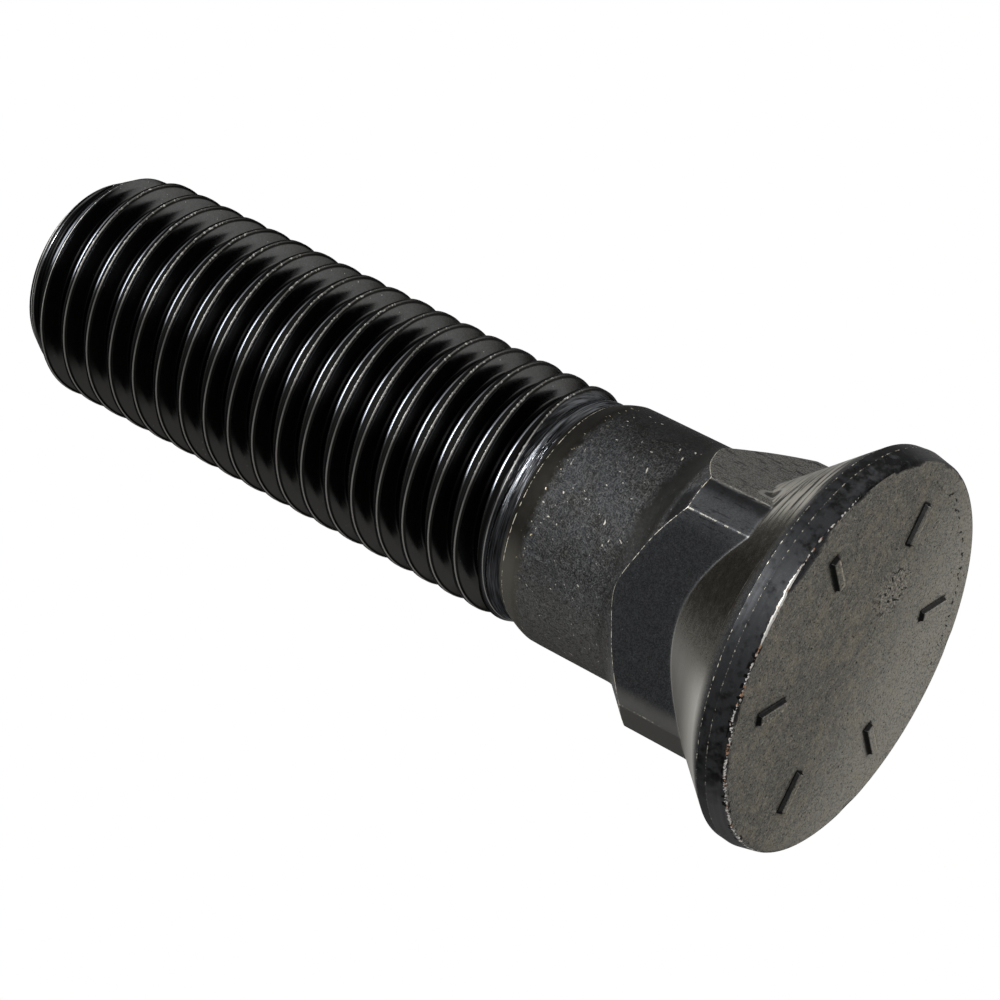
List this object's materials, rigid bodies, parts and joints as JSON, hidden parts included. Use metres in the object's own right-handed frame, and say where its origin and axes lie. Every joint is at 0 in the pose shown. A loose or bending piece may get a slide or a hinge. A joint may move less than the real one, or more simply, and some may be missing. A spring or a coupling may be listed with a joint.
{
  "type": "plow bolt",
  "caption": "Flat-head plow bolt: coned round head, square neck that stops it turning, plain shank and coarse right-hand thread.",
  "frame": {"origin": "on the bolt's axis, on the surface that it stands on, under the head's raised marks", "axes": "+Z along the axis from the head to the tip, X and Y square to the neck's flats"},
  "size_m": [0.0316, 0.0316, 0.0754],
  "materials": {
    "black_steel": "black oiled heat-treated steel, worn bright at its edges"
  },
  "bodies": {
    "root": {"plow_bolt": "black_steel"}
  },
  "joints": []
}
